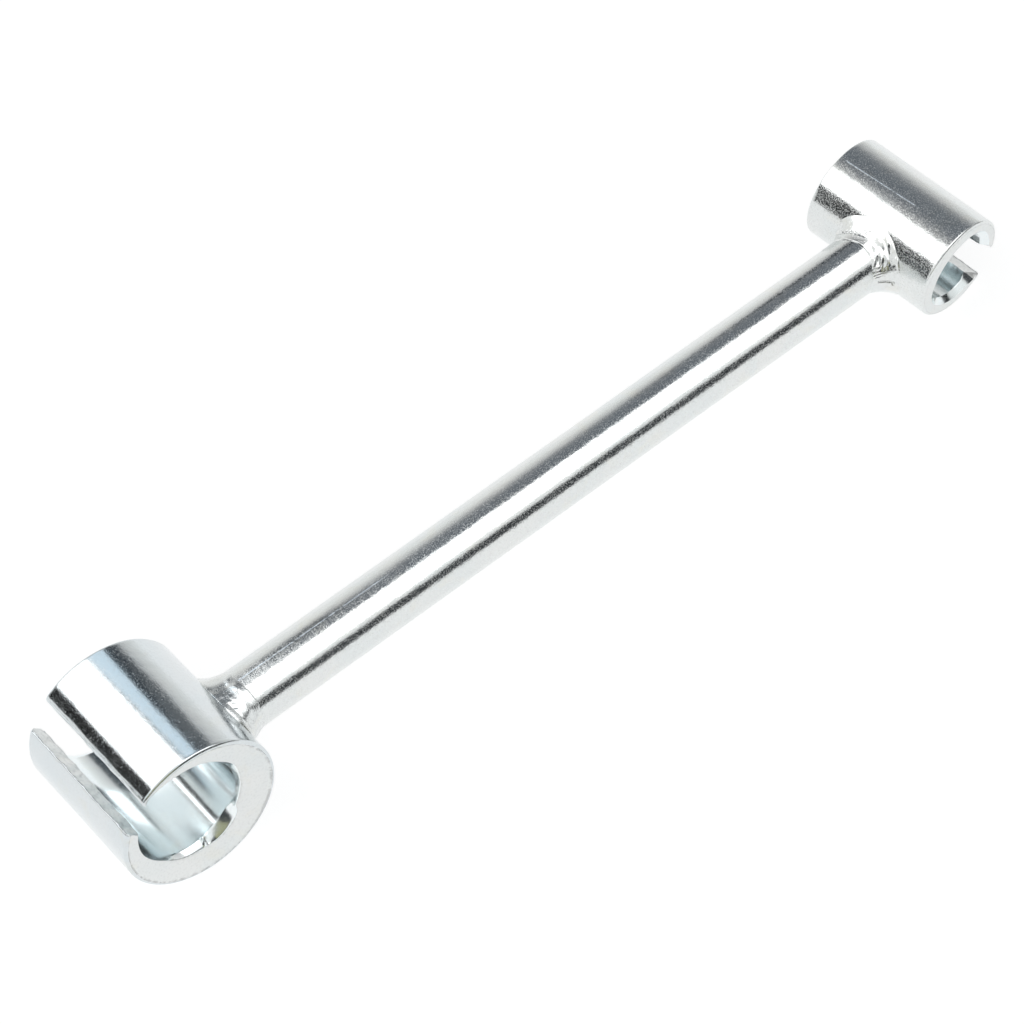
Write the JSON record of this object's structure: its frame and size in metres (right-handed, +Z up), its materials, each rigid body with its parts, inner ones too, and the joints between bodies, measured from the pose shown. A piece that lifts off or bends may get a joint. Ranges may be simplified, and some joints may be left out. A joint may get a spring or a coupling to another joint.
{
  "type": "fire hydrant wrench",
  "caption": "Double-ended wrench: a round steel bar with a slotted open-ended socket welded crosswise at each end, for turning hydrant and valve stems",
  "frame": {"origin": "middle of the footprint, on the plane that the wrench lies on", "axes": "+X runs along the bar from the large socket to the small one, +Z is up with the wrench lying on both sockets, and both bores run roughly along Y"},
  "size_m": [0.2726, 0.043, 0.0417],
  "materials": {
    "zinc_steel": "bright clear zinc plate over drawn steel",
    "weld_zinc": "bright clear zinc plate over a rippled weld bead"
  },
  "bodies": {
    "root": {"handle_bar": "zinc_steel", "large_socket": "zinc_steel", "small_socket": "zinc_steel", "large_socket_weld": "weld_zinc", "small_socket_weld": "weld_zinc"}
  },
  "joints": []
}
